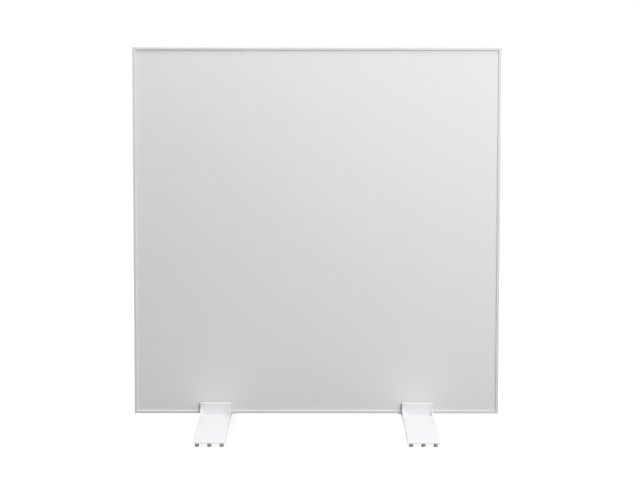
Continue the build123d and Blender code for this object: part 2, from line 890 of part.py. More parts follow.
def gussets(face, direction):
    """A triangular rib at each side of a clamp wall, running out along the arch."""
    toe = face + direction * gusset_reach
    low = arch_top(toe) - gusset_root
    outline = Polyline(
        (face, low),
        (face, seat_z + gusset_height),
        (toe, arch_top(toe) + gusset_toe),
        (toe, low),
        close=True,
    )
    half = foot_width / 2
    ribs = []
    for start in (-half, half - gusset_thickness):
        plane = Plane((start, 0, 0), x_dir=(0, 1, 0), z_dir=(1, 0, 0))
        ribs.append(extrude(plane * make_face(outline), amount=gusset_thickness))
    return ribs


def foot_casting():
    """One-piece foot: arched plate, seat, clamp walls, gussets, screw boss and bumper bosses."""
    half = foot_width / 2
    foot = arch_blank()
    foot += block((-half, half), (front_wall_face, rear_wall_back), (seat_z - foot_plate, seat_z))
    foot += clamp_upright(front_wall_face, lining_front)
    foot += clamp_upright(rear_wall_front, rear_wall_back)
    for rib in gussets(front_wall_face, -1) + gussets(rear_wall_back, 1):
        foot += rib
    foot += rod(clamp_boss_radius, (0, rear_wall_front, clamp_z), (0, boss_back, clamp_z))
    for x, y in bumper_places():
        foot += bumper_boss(x, y)
    foot -= rod(screw_radius + running_fit, (0, rear_wall_front, clamp_z), (0, boss_back, clamp_z))
    for x, y in bumper_places():
        foot -= rod(bumper_stem_radius, (x, y, bumper_height), (x, y, bumper_height + bumper_stem_length))
    return foot


def foot_bumpers():
    """Rubber bumpers pressed in under both ends."""
    bumpers = []
    for x, y in bumper_places():
        bumper = rod(bumper_radius, (x, y, 0), (x, y, bumper_height))
        bumper = chamfer(bumper.edges().sort_by(Axis.Z)[0], bumper_bevel)
        top = bumper_height + bumper_stem_length
        bumpers.append(bumper + rod(bumper_stem_radius, (x, y, bumper_height), (x, y, top)))
    return group(bumpers)


def foot_seat_pad():
    """Rubber pad that the panel stands on."""
    half = foot_width / 2 - pad_margin
    return block((-half, half), (lining_front, back_edge), (seat_z, panel_bottom))


def foot_lining():
    """Rubber lining between the front wall and the frame."""
    half = foot_width / 2 - lining_margin
    top = seat_z + wall_height - lining_top_margin
    return block((-half, half), (lining_front, rim_face), (panel_bottom + lining_gap, top))


def clamp_facing():
    """Rubber facing between the pressure plate and the frame."""
    half = pressure_width / 2 - facing_margin
    top = seat_z + pressure_top - facing_margin
    y = (back_edge, back_edge + facing_thickness)
    return block((-half, half), y, (panel_bottom + facing_margin, top))


def pressure_plate():
    """Steel plate with the socket that the screw turns in."""
    half = pressure_width / 2
    front = back_edge + facing_thickness
    back = front + pressure_sheet
    plate = block((-half, half), (front, back), (seat_z + pressure_gap, seat_z + pressure_top))
    plate = fillet(plate.edges().filter_by(Axis.Y), pressure_corner)
    plate += rod(socket_radius, (0, back, clamp_z), (0, socket_back, clamp_z))
    cavity = rod(collar_radius + running_fit, (0, back, clamp_z), (0, socket_back - socket_lip, clamp_z))
    mouth = rod(journal_radius + running_fit, (0, back, clamp_z), (0, socket_back, clamp_z))
    return plate - cavity - mouth


def clamp_screw():
    """Screw with a collar that the pressure plate holds captive."""
    start = back_edge + facing_thickness + pressure_sheet
    neck = socket_back - socket_lip - running_fit
    screw = rod(collar_radius, (0, start, clamp_z), (0, neck, clamp_z))
    screw += rod(journal_radius, (0, neck, clamp_z), (0, socket_back + clamp_end_gap / 2, clamp_z))
    end = knob_front + screw_grip
    return screw + rod(screw_radius, (0, socket_back + clamp_end_gap / 2, clamp_z), (0, end, clamp_z))


def clamp_knob():
    """Fluted hand knob moulded on the screw's end."""
    hub_back = knob_front + knob_hub_length
    knob = rod(knob_radius, (0, hub_back, clamp_z), (0, knob_front + knob_length, clamp_z))
    for flute in range(knob_flutes):
        spot = Plane((0, hub_back, clamp_z), z_dir=(0, 1, 0)) * Rot(0, 0, flute * 360 / knob_flutes)
        knob -= spot * Pos(flute_offset, 0, 0) * Cylinder(flute_radius, knob_length, align=CENTRE_LOW)
    knob = chamfer(knob.faces().sort_by(Axis.Y)[-1].edges(), knob_bevel)
    knob += rod(knob_hub_radius, (0, knob_front, clamp_z), (0, hub_back, clamp_z))
    return knob - rod(screw_radius, (0, knob_front, clamp_z), (0, knob_front + screw_grip, clamp_z))


# ------------------------------------------------------------------ nodes

track = heating_track()
blades = cutout_blades()
sleeves = blade_sleeves()
poles = terminal_screws()

nodes = frame_bars()
nodes["corner_keys"] = corner_keys()
nodes["front_plate"] = pressed(sheet(frame_wall + sheet_fit), rim_step, plate_back)
nodes["edge_gasket"] = edge_gasket()
nodes["heating_film"] = pressed(sheet(film_margin), plate_back, film_back)
nodes["heating_track"] = track
nodes["insulation_board"] = insulation_board()
nodes["thermal_cutouts"] = group(thermal_cutouts())
nodes["cutout_blades"] = group(blades)
nodes["blade_sleeves"] = group([cut(sleeve, blades) for sleeve in sleeves])
nodes["back_cover"] = back_cover()
nodes["cover_screws"] = group(cover_screws)
nodes["insert_doublers"] = insert_doublers()
nodes["rivet_nuts"] = group([rivet_nut(x, z) for x, z in insert_places])
nodes["box_base"] = box_base()
nodes["box_lid"] = box_lid()
nodes["lid_screws"] = group(lid_screws)
nodes["box_rivets"] = group(box_rivets)
nodes["lead_grommet"] = lead_grommet()
nodes["terminal_block"] = terminal_block()
nodes["terminal_barrels"] = terminal_barrels()
nodes["terminal_screws"] = group(poles)
nodes["supply_leads"] = group(supply_leads())
nodes["element_leads"] = group(element_leads())
nodes["earth_lead"] = earth_lead()
nodes["earth_stud"] = stud
nodes["earth_lug"] = earth_lug()
nodes["earth_nut"] = earth_nut()
nodes["gland_body"] = gland_body()
nodes["gland_locknut"] = gland_locknut()
nodes["gland_seal"] = gland_seal()
nodes["gland_nut"] = gland_nut()

foot_parts = {
    "casting": foot_casting(),
    "bumpers": foot_bumpers(),
    "seat_pad": foot_seat_pad(),
    "lining": foot_lining(),
    "clamp_facing": clamp_facing(),
    "pressure_plate": pressure_plate(),
    "clamp_screw": clamp_screw(),
    "clamp_knob": clamp_knob(),
}
for side, offset in (("left", -foot_offset), ("right", foot_offset)):
    for name, shape in foot_parts.items():
        nodes[f"{side}_{name}"] = Pos(offset, 0, 0) * shape

for name, shape in nodes.items():
    export_step(shape, f"parts/{name}.step")
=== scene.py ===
"""Infrared panel heater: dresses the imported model, lights it and sets the camera of the photograph."""

from __future__ import annotations

import logging
import math
from collections import defaultdict
from dataclasses import dataclass, field
from enum import Enum
from typing import Any, Iterable, Sequence

import bmesh
import bpy
from mathutils import Matrix, Vector


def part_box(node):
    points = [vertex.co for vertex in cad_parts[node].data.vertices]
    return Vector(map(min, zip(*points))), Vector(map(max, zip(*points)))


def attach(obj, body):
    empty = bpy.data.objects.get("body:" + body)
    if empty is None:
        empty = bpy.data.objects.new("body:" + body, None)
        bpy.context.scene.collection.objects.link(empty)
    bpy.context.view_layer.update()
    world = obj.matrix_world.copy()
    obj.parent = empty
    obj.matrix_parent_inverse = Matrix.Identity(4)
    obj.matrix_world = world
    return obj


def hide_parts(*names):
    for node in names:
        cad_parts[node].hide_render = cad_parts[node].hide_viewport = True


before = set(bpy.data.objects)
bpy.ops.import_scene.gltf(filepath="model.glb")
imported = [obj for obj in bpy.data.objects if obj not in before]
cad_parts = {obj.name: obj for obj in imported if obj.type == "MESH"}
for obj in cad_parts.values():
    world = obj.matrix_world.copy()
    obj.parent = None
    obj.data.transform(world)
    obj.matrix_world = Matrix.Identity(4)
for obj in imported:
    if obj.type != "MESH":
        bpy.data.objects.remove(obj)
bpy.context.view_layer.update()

LOG = logging.getLogger("heater")
MM = 0.001  # metres in a millimetre
GLOSS_SPREAD = 0.08  # share by which roughness wanders to each side
GLOSS_PATCH = 1 / 3  # size of its patches, as a share of the colour's
RELIEF_HEIGHT = 0.1  # height of fine relief, as a share of the grain
THREAD_HEIGHT = 0.25  # height of fibres and threads, as a share of the grain
FIBRE_LENGTH = 4.0  # length of a fibre, in grains
FIBRE_SLIMNESS = 6.0  # a fibre's length over its width
BAND_RATE = 20.0  # a wave texture's bands lie two pi apart, divided by this and by its scale
MIX_A, MIX_B, MIX_RESULT = 6, 7, 2  # a Mix node's sockets for colours


class Body(Enum):
    """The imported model's bodies that a new piece can ride on."""

    PANEL = "panel"
    LEFT_SCREW = "left_screw"
    RIGHT_SCREW = "right_screw"


class Side(Enum):
    """The two feet, named as seen from the front."""

    LEFT = "left"
    RIGHT = "right"


# ------------------------------------------------------------------ node and mesh helpers


def linear(hex_colour: str) -> tuple[float, float, float, float]:
    """Turns an sRGB hex value into the linear colour that Blender's sockets take.

    Args:
        hex_colour: Six hex digits, with or without a leading hash.

    Returns:
        Linear red, green, blue and an alpha of one.
    """
    digits = hex_colour.lstrip("#")
    channels = []
    for start in (0, 2, 4):
        value = int(digits[start : start + 2], 16) / 255
        channels.append(value / 12.92 if value <= 0.04045 else ((value + 0.055) / 1.055) ** 2.4)
    return (channels[0], channels[1], channels[2], 1.0)


def add_node(
    tree: bpy.types.NodeTree,
    kind: str,
    settings: dict[str, Any] | None = None,
    inputs: dict[str | int, Any] | None = None,
) -> bpy.types.Node:
    """Adds a node, sets its properties, and sets or links its inputs.

    Args:
        tree: The node tree that gets the node.
        kind: Blender's identifier of the node type.
        settings: Property names and values.
        inputs: Input names or numbers, each with a value or with the socket that feeds it.

    Returns:
        The new node.
    """
    node = tree.nodes.new(kind)
    for name, value in (settings or {}).items():
        setattr(node, name, value)
    for name, value in (inputs or {}).items():
        if isinstance(value, bpy.types.NodeSocket):
            tree.links.new(value, node.inputs[name])
        else:
            node.inputs[name].default_value = value
    return node


def islands(node_name: str) -> list[tuple[Vector, Vector]]:
    """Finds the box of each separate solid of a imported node.

    Args:
        node_name: The node's name.

    Returns:
        The lowest and highest corner of each solid, in the row frame, sorted by place.
    """
    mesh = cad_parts[node_name].data
    parent: dict[tuple[float, ...], tuple[float, ...]] = {}

    def root(key: tuple[float, ...]) -> tuple[float, ...]:
        """Follows a point up to its group's first point.

        Args:
            key: A point of the mesh.

        Returns:
            The first point of its group.
        """
        while parent[key] != key:
            parent[key] = parent[parent[key]]
            key = parent[key]
        return key

    keys = [tuple(round(c, 6) for c in v.co) for v in mesh.vertices]
    for key in keys:
        parent.setdefault(key, key)
    for polygon in mesh.polygons:
        first = root(keys[polygon.vertices[0]])
        for index in polygon.vertices[1:]:
            parent[root(keys[index])] = first
    groups: dict[tuple[float, ...], list[tuple[float, ...]]] = defaultdict(list)
    for key in parent:
        groups[root(key)].append(key)
    boxes = []
    for points in groups.values():
        low, high = (Vector([pick(axis) for axis in zip(*points)]) for pick in (min, max))
        boxes.append((low, high))
    return sorted(boxes, key=lambda pair: tuple(round(c, 4) for c in pair[0]))


def new_piece(name: str, mesh: bpy.types.Mesh, smooth_angle: float = 30.0) -> bpy.types.Object:
    """Links a mesh into the scene as a piece, shaded smooth up to an angle.

    Args:
        name: The piece's name.
        mesh: Its mesh, in metres, in the row frame.
        smooth_angle: Edges sharper than this many degrees stay crisp.

    Returns:
        The new object.
    """
    obj = bpy.data.objects.new(name, mesh)
    bpy.context.scene.collection.objects.link(obj)
    mesh.set_sharp_from_angle(angle=math.radians(smooth_angle))
    for polygon in mesh.polygons:
        polygon.use_smooth = True
    return obj


def ring(radius: float, y: float, steps: int) -> list[Vector]:
    """Evenly spaced points round the Y axis.

    Args:
        radius: Distance from the axis.
        y: Place along the axis.
        steps: How many points.

    Returns:
        The points, in order.
    """
    turns = [2 * math.pi * step / steps for step in range(steps)]
    return [Vector((radius * math.cos(turn), y, radius * math.sin(turn))) for turn in turns]


def skin(rings: Sequence[Sequence[Vector]]) -> bmesh.types.BMesh:
    """Bridges rings of points into a closed skin.

    Args:
        rings: Rings of equally many points, from one end to the other.

    Returns:
        The mesh, with a face over each end and its faces turned outward.
    """
    bm = bmesh.new()
    rows = [[bm.verts.new(point) for point in points] for points in rings]
    for near, far in zip(rows, rows[1:]):
        for step in range(len(near)):
            after = (step + 1) % len(near)
            bm.faces.new((near[step], near[after], far[after], far[step]))
    bm.faces.new(rows[0])
    bm.faces.new(list(reversed(rows[-1])))
    bmesh.ops.recalc_face_normals(bm, faces=bm.faces)
    return bm


def to_mesh(bm: bmesh.types.BMesh, name: str) -> bpy.types.Mesh:
    """Moves a finished bmesh into a named mesh.

    Args:
        bm: The mesh under construction, which is freed.
        name: The new mesh's name.

    Returns:
        The new mesh.
    """
    mesh = bpy.data.meshes.new(name)
    bm.to_mesh(mesh)
    bm.free()
    return mesh


# ------------------------------------------------------------------ finishes


@dataclass(frozen=True)
class Finish:
    """What every finish shares: a name, a colour and a surface that scatters light.

    Attributes:
        name: The material's name, in plain words.
        colour: sRGB hex of the clean surface.
        roughness: Of the surface between its own fine relief.
        metallic: One for bare metal, nought for anything else.
        ior: Index of refraction of a coat, plastic or rubber.
        grain_mm: Size of the fine relief, in millimetres.
        relief: Strength of the fine relief, from nought to one.
        drift: Share by which the colour wanders over the surface.
        drift_mm: Size of the patches in which it wanders.
    """

    name: str
    colour: str
    roughness: float
    metallic: float = 0.0
    ior: float = 1.5
    grain_mm: float = 1.0
    relief: float = 0.1
    drift: float = 0.02
    drift_mm: float = 40.0

    def build(self) -> bpy.types.Material:
        """Makes the material once.

        Returns:
            The material, new or already made.
        """
        made = bpy.data.materials.get(self.name)
        if made:
            return made
        material = bpy.data.materials.new(self.name)
        material.use_nodes = True
        tree = material.node_tree
        tree.nodes.clear()
        place = add_node(tree, "ShaderNodeTexCoord").outputs["Object"]
        shader = add_node(
            tree,
            "ShaderNodeBsdfPrincipled",
            inputs={"Metallic": self.metallic, "IOR": self.ior},
        )
        tree.links.new(self.tint(tree, place), shader.inputs["Base Color"])
        tree.links.new(self.gloss(tree, place), shader.inputs["Roughness"])
        tree.links.new(self.bump(tree, place), shader.inputs["Normal"])
        self.extras(shader)
        add_node(tree, "ShaderNodeOutputMaterial", inputs={"Surface": shader.outputs["BSDF"]})
        material.diffuse_color = linear(self.colour)
        return material

    def noise(
        self, tree: bpy.types.NodeTree, place: bpy.types.NodeSocket, size_mm: float, detail: float = 3.0
    ) -> bpy.types.NodeSocket:
        """A noise whose patches have a real size.

        Args:
            tree: The material's nodes.
            place: Object coordinates, in metres.
            size_mm: Size of one patch.
            detail: Octaves of finer noise on top.

        Returns:
            The noise's value, around a half.
        """
        values = {"Vector": place, "Scale": 1 / (size_mm * MM), "Detail": detail, "Roughness": 0.5}
        return add_node(tree, "ShaderNodeTexNoise", inputs=values).outputs["Fac"]

    def tint(self, tree: bpy.types.NodeTree, place: bpy.types.NodeSocket) -> bpy.types.NodeSocket:
        """Colour that wanders a little over the surface.

        Args:
            tree: The material's nodes.
            place: Object coordinates, in metres.

        Returns:
            The colour.
        """
        wander = self.noise(tree, place, self.drift_mm)
        clean = linear(self.colour)
        worn = (*[channel * (1 - 2 * self.drift) for channel in clean[:3]], 1.0)
        colours = {"Factor": wander, MIX_A: clean, MIX_B: worn}
        return add_node(tree, "ShaderNodeMix", {"data_type": "RGBA"}, colours).outputs[MIX_RESULT]

    def gloss(self, tree: bpy.types.NodeTree, place: bpy.types.NodeSocket) -> bpy.types.NodeSocket:
        """Roughness that varies a little, in patches smaller than the colour's.

        Args:
            tree: The material's nodes.
            place: Object coordinates, in metres.

        Returns:
            The roughness.
        """
        lowest = self.roughness * (1 - GLOSS_SPREAD)
        limits = {"To Min": lowest, "To Max": min(1.0, self.roughness * (1 + GLOSS_SPREAD))}
        spread = self.noise(tree, place, self.drift_mm * GLOSS_PATCH)
        return add_node(tree, "ShaderNodeMapRange", inputs={"Value": spread, **limits}).outputs["Result"]

    def bump(self, tree: bpy.types.NodeTree, place: bpy.types.NodeSocket) -> bpy.types.NodeSocket:
        """Fine relief from a noise of the grain's size.

        Args:
            tree: The material's nodes.
            place: Object coordinates, in metres.

        Returns:
            The bent normal.
        """
        height = self.noise(tree, place, self.grain_mm)
        depth = self.grain_mm * MM * RELIEF_HEIGHT
        values = {"Height": height, "Strength": self.relief, "Distance": depth}
        return add_node(tree, "ShaderNodeBump", inputs=values).outputs["Normal"]

    def extras(self, shader: bpy.types.Node) -> None:
        """Sets what only some finishes have, on the shader's own sockets."""


@dataclass(frozen=True)
class Coated(Finish):
    """A finish under a thin clear film, such as enamel or gloss paint.

    Attributes:
        coat: Weight of the film.
        coat_roughness: How far the film blurs reflections.
    """

    coat: float = 0.2
    coat_roughness: float = 0.3

    def extras(self, shader: bpy.types.Node) -> None:
        """Sets the clear film."""
        shader.inputs["Coat Weight"].default_value = self.coat
        shader.inputs["Coat Roughness"].default_value = self.coat_roughness


@dataclass(frozen=True)
class Fibrous(Finish):
    """A felted or pressed board, whose fibres lie flat and run every way."""

    def bump(self, tree: bpy.types.NodeTree, place: bpy.types.NodeSocket) -> bpy.types.NodeSocket:
        """Fibres drawn as a noise that is stretched along one way, twice.

        Args:
            tree: The material's nodes.
            place: Object coordinates, in metres.

        Returns:
            The bent normal.
        """
        heights = []
        for stretch in ((1.0, 1.0, FIBRE_SLIMNESS), (FIBRE_SLIMNESS, 1.0, 1.0)):
            mapped = add_node(tree, "ShaderNodeMapping", inputs={"Vector": place, "Scale": stretch})
            heights.append(self.noise(tree, mapped.outputs["Vector"], self.grain_mm * FIBRE_LENGTH))
        both = add_node(tree, "ShaderNodeMath", {"operation": "ADD"}, {0: heights[0], 1: heights[1]})
        depth = self.grain_mm * MM * THREAD_HEIGHT
        values = {"Height": both.outputs[0], "Strength": self.relief, "Distance": depth}
        return add_node(tree, "ShaderNodeBump", inputs=values).outputs["Normal"]


@dataclass(frozen=True)
class Woven(Finish):
    """A woven tape: two sets of threads that cross at right angles."""

    def bump(self, tree: bpy.types.NodeTree, place: bpy.types.NodeSocket) -> bpy.types.NodeSocket:
        """Threads drawn as two sets of ridges, a thread apart.

        Args:
            tree: The material's nodes.
            place: Object coordinates, in metres.

        Returns:
            The bent normal.
        """
        heights = []
        for axis in ("X", "Z"):
            settings = {"wave_type": "BANDS", "bands_direction": axis, "wave_profile": "SIN"}
            values = {"Vector": place, "Scale": 2 * math.pi / (BAND_RATE * self.grain_mm * MM)}
            heights.append(add_node(tree, "ShaderNodeTexWave", settings, values).outputs["Fac"])
        top = add_node(tree, "ShaderNodeMath", {"operation": "MAXIMUM"}, {0: heights[0], 1: heights[1]})
        depth = self.grain_mm * MM * THREAD_HEIGHT
        values = {"Height": top.outputs[0], "Strength": self.relief, "Distance": depth}
        return add_node(tree, "ShaderNodeBump", inputs=values).outputs["Normal"]


# Enamel baked on sheet steel: an even satin white that blurs what it mirrors. Its grain of 0.8 mm is
# drawn coarser than the real stipple of about 0.2 mm, which the render can't show.
ENAMEL = Coated(
    "Baked satin enamel on sheet steel", "#EFEFEF", 0.4, grain_mm=0.8, relief=0.05, drift=0.004, drift_mm=120
)
# Polyester powder sprayed and baked on extruded aluminium: white with a faint orange peel, whose
# waves are about 1.6 mm apart.
FRAME_COAT = Coated(
    "Powder coat on aluminium extrusion", "#E8E8E8", 0.42, grain_mm=1.6, relief=0.06, drift=0.005
)
# The same powder on die-cast aluminium: it flows over the blasted casting, so its waves are wider
# and softer, and the white is a little cooler.
CASTING_COAT = Coated("Powder coat on die casting", "#EFEFF2", 0.42, grain_mm=2.2, relief=0.12, drift=0.006)
# A thinner coat on the pressed back cover: a shade duller than the front.
COVER_COAT = Coated("Powder coat on pressed cover", "#E4E5E6", 0.5, grain_mm=1.8, relief=0.1, drift=0.01)
# Moulded grey rubber, unpainted: a dull skin with a fine bloom.
BUMPER_RUBBER = Finish(
    "Moulded grey rubber", "#B6B2AD", 0.78, ior=1.52, grain_mm=0.5, relief=0.25, drift=0.06, drift_mm=4
)
# Moulded rubber filled with carbon black: nearly no light comes back from it.
BLACK_RUBBER = Finish(
    "Moulded black rubber", "#1E1F20", 0.8, ior=1.52, grain_mm=0.5, relief=0.25, drift=0.06, drift_mm=5
)
# Injection moulded ABS from a spark-eroded mould: matt, with pits about 0.5 mm apart.
BOX_PLASTIC = Finish(
    "Moulded textured white ABS", "#E7E7E5", 0.55, ior=1.53, grain_mm=0.5, relief=0.2, drift=0.008
)
# Moulded polyamide: pale grey, smoother than the box beside it.
GLAND_PLASTIC = Finish(
    "Moulded grey polyamide", "#C6C8CA", 0.5, ior=1.53, grain_mm=0.6, relief=0.15, drift=0.015, drift_mm=8
)
# Moulded polypropylene for the hand knobs: pale grey with a light texture for grip.
KNOB_PLASTIC = Finish(
    "Moulded grey polypropylene", "#CFD1D3", 0.48, ior=1.53, grain_mm=0.6, relief=0.2, drift=0.015, drift_mm=8
)
# Zinc plated over cold-formed steel: a soft grey metal whose grey drifts over a few millimetres.
ZINC = Finish(
    "Zinc plated steel", "#D2D5D8", 0.42, metallic=1.0, grain_mm=0.9, relief=0.12, drift=0.08, drift_mm=6
)
# Die-cast aluminium as it leaves the mould: bright but rough.
CAST_KEY = Finish(
    "Bare die-cast aluminium", "#B9BCC0", 0.5, metallic=1.0, grain_mm=1.2, relief=0.3, drift=0.06, drift_mm=8
)
# Aluminium wire upset to a rivet's head: smoother and brighter than the casting.
RIVET_METAL = Finish(
    "Cold-headed aluminium", "#C4C6C9", 0.38, metallic=1.0, grain_mm=0.6, relief=0.08, drift=0.04, drift_mm=4
)
# Turned brass: yellow, with fine tool marks.
BRASS = Finish(
    "Turned brass", "#C9A356", 0.3, metallic=1.0, grain_mm=0.4, relief=0.08, drift=0.05, drift_mm=5
)
# Brass strip with a thin coat of tin: a dull warm grey.
TINNED = Finish(
    "Tin plated brass strip", "#BDBBB4", 0.38, metallic=1.0, grain_mm=0.6, relief=0.1, drift=0.06, drift_mm=5
)
# Foil etched to a track: dark grey, with cloudy patches that the etch leaves.
FOIL = Finish(
    "Etched resistance foil", "#6B6C70", 0.42, metallic=1.0, grain_mm=0.7, relief=0.1, drift=0.08, drift_mm=12
)
# Cast polyimide film: glossy amber.
FILM = Coated("Cast polyimide film", "#B8742A", 0.3, ior=1.7, grain_mm=2.0, relief=0.04, drift=0.04)
# Pressed mineral fibre: a chalky board with fibres that lie flat. They are drawn 3 mm long and half
# a millimetre wide, far coarser than the real ones.
BOARD = Fibrous(
    "Pressed mineral fibre board", "#C9BE9F", 0.95, grain_mm=0.8, relief=0.6, drift=0.06, drift_mm=14
)
# Glass yarn woven to a tape: off-white, with threads 0.9 mm apart.
TAPE = Woven("Woven glass tape", "#DBD6C8", 0.85, grain_mm=0.9, relief=0.6, drift=0.03)
# Compression moulded phenolic: nearly black brown, with a slight gloss from the mould.
PHENOLIC = Finish(
    "Compression moulded phenolic", "#2B2320", 0.4, ior=1.6, grain_mm=0.8, relief=0.1, drift=0.1, drift_mm=4
)
# Natural nylon, moulded thin: milky and slightly glossy.
NYLON = Finish(
    "Moulded natural nylon", "#E6E4DC", 0.4, ior=1.53, grain_mm=0.8, relief=0.05, drift=0.02, drift_mm=5
)
# Moulded polyamide without pigment but ivory: smooth, slightly glossy.
TERMINAL_PLASTIC = Finish(
    "Moulded ivory polyamide", "#E3DDC8", 0.42, ior=1.53, grain_mm=0.6, relief=0.08, drift=0.02, drift_mm=8
)
# Extruded silicone rubber: a brown sheath with a soft sheen.
BROWN_SILICONE = Finish(
    "Extruded brown silicone", "#5A3A28", 0.6, ior=1.42, grain_mm=0.7, relief=0.1, drift=0.05, drift_mm=6
)
# The same sheath in the earth lead's green.
EARTH_SILICONE = Finish(
    "Extruded green silicone", "#6FA32E", 0.6, ior=1.42, grain_mm=0.7, relief=0.1, drift=0.1, drift_mm=3
)


def dress(finish: Finish, names: Iterable[str]) -> None:
    """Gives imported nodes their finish.

    Args:
        finish: The finish that they all get.
        names: The nodes' names.
    """
    for name in names:
        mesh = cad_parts[name].data
        mesh.materials.clear()
        mesh.materials.append(finish.build())
        LOG.info("%s dressed in %s", name, finish.name)


def stand_in(piece: bpy.types.Object, finish: Finish, node: str, body: Body) -> None:
    """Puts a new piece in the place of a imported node.

    Args:
        piece: The new piece.
        finish: Its finish.
        node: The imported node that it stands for.
        body: The body that carries it.
    """
    piece.data.materials.append(finish.build())
    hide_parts(node)
    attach(piece, body.value)
    LOG.info("%s built in place of %s", piece.name, node)


# ------------------------------------------------------------------ sub-assemblies


@dataclass
class CrossScrews:
    """A set of cross-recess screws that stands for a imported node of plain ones. Lengths are in mm.

    Attributes:
        node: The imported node.
        shank_radius: Radius of the shank.
        head_radius: Radius at the head's top.
        head_depth: Depth of the head.
        countersunk: Whether the head tapers down to the shank.
        arm_reach: From the middle of the cross to the end of an arm.
        arm_width: Width of an arm.
        recess_depth: Depth of the recess.
        taper: Width of the recess at its bottom, as a share of its width at the top.
        edge_break: Size of the bevel round the head's top.
        tip_share: Radius of the point, as a share of the shank's.
        turn_step: Degrees by which each cross is turned past the last.
        steps: Points round the axis.
    """

    node: str
    shank_radius: float
    head_radius: float
    head_depth: float
    countersunk: bool
    arm_reach: float
    arm_width: float
    recess_depth: float
    taper: float = 0.55
    edge_break: float = 0.15
    tip_share: float = 0.45
    turn_step: float = 37.0
    steps: int = 32

    def blank(self, length: float) -> bpy.types.Mesh:
        """One screw without its recess, its head's top at the origin and its shank along -Y.

        Args:
            length: The screw's length, in millimetres.

        Returns:
            The mesh, in metres.
        """
        profile = [
            (self.shank_radius * self.tip_share, -length),
            (self.shank_radius, -length + self.shank_radius),
            (self.shank_radius, -self.head_depth),
        ]
        if not self.countersunk:
            profile.append((self.head_radius, -self.head_depth))
        profile.append((self.head_radius, -self.edge_break))
        profile.append((self.head_radius - self.edge_break, 0.0))
        rings = [ring(radius * MM, y * MM, self.steps) for radius, y in profile]
        return to_mesh(skin(rings), f"{self.node}_blank")

    def cross(self) -> bpy.types.Mesh:
        """Two crossed wedges that cut the recess and stand out of the head by its depth.

        Returns:
            The mesh, in metres.
        """
        bm = bmesh.new()
        half_width = self.arm_width / 2
        for wide, tall in ((self.arm_reach, half_width), (half_width, self.arm_reach)):
            size = Matrix.Diagonal((2 * wide * MM, 2 * self.recess_depth * MM, 2 * tall * MM, 1.0))
            bmesh.ops.create_cube(bm, size=1.0, matrix=size)
        for vert in bm.verts:
            if vert.co.y < 0:
                vert.co.x *= self.taper
                vert.co.z *= self.taper
        return to_mesh(bm, f"{self.node}_wedges")

    def carve(self, blank: bpy.types.Mesh, wedges: bpy.types.Mesh) -> bpy.types.Mesh:
        """Cuts the recess into the blank.

        Args:
            blank: The screw without its recess.
            wedges: The two crossed wedges.

        Returns:
            The screw with its recess.
        """
        screw = bpy.data.objects.new("blank", blank)
        tool = bpy.data.objects.new("wedges", wedges)
        for obj in (screw, tool):
            bpy.context.scene.collection.objects.link(obj)
        cut = screw.modifiers.new("recess", "BOOLEAN")
        cut.object = tool
        cut.operation = "DIFFERENCE"
        cut.solver = "EXACT"
        cut.use_self = True
        graph = bpy.context.evaluated_depsgraph_get()
        made = bpy.data.meshes.new_from_object(screw.evaluated_get(graph))
        for obj in (screw, tool):
            bpy.data.objects.remove(obj)
        return made

    def build(self) -> bpy.types.Object:
        """Makes one piece with a screw at each place, turned unevenly as driven screws are.

        Returns:
            The piece, riding on the panel.
        """
        places = islands(self.node)
        low, high = places[0]
        screw = self.carve(self.blank((high.y - low.y) / MM), self.cross())
        gathered = bmesh.new()
        for number, (low, high) in enumerate(places):
            spot = Vector(((low.x + high.x) / 2, high.y, (low.z + high.z) / 2))
            turn = Matrix.Rotation(math.radians(self.turn_step * number), 4, "Y")
            copy = screw.copy()
            copy.transform(Matrix.Translation(spot) @ turn)
            gathered.from_mesh(copy)
            bpy.data.meshes.remove(copy)
        piece = new_piece(f"{self.node}_cross", to_mesh(gathered, f"{self.node}_cross"))
        stand_in(piece, ZINC, self.node, Body.PANEL)
        return piece


@dataclass
class HeatedPanel:
    """The framed panel, with its layers and its pressed back.

    Attributes:
        bars: The four mitred bars of the frame.
        cover_screws: The screws round the back cover.
    """

    bars: tuple[str, ...] = ("frame_bottom", "frame_top", "frame_left", "frame_right")
    cover_screws: CrossScrews = field(
        default_factory=lambda: CrossScrews(
            "cover_screws",
            shank_radius=1.7,
            head_radius=3.1,
            head_depth=1.5,
            countersunk=True,
            arm_reach=1.7,
            arm_width=0.7,
            recess_depth=1.2,
        )
    )

    def dress(self) -> None:
        """Gives every layer its finish, from the front to the back."""
        dress(ENAMEL, ["front_plate"])
        dress(FRAME_COAT, self.bars)
        dress(CAST_KEY, ["corner_keys"])
        dress(TAPE, ["edge_gasket"])
        dress(FILM, ["heating_film"])
        dress(FOIL, ["heating_track"])
        dress(BOARD, ["insulation_board"])
        dress(PHENOLIC, ["thermal_cutouts"])
        dress(TINNED, ["cutout_blades"])
        dress(NYLON, ["blade_sleeves"])
        dress(BROWN_SILICONE, ["element_leads"])
        dress(ZINC, ["insert_doublers", "rivet_nuts"])
        dress(COVER_COAT, ["back_cover"])

    def build(self) -> None:
        """Dresses the panel and builds its screws."""
        self.dress()
        self.cover_screws.build()


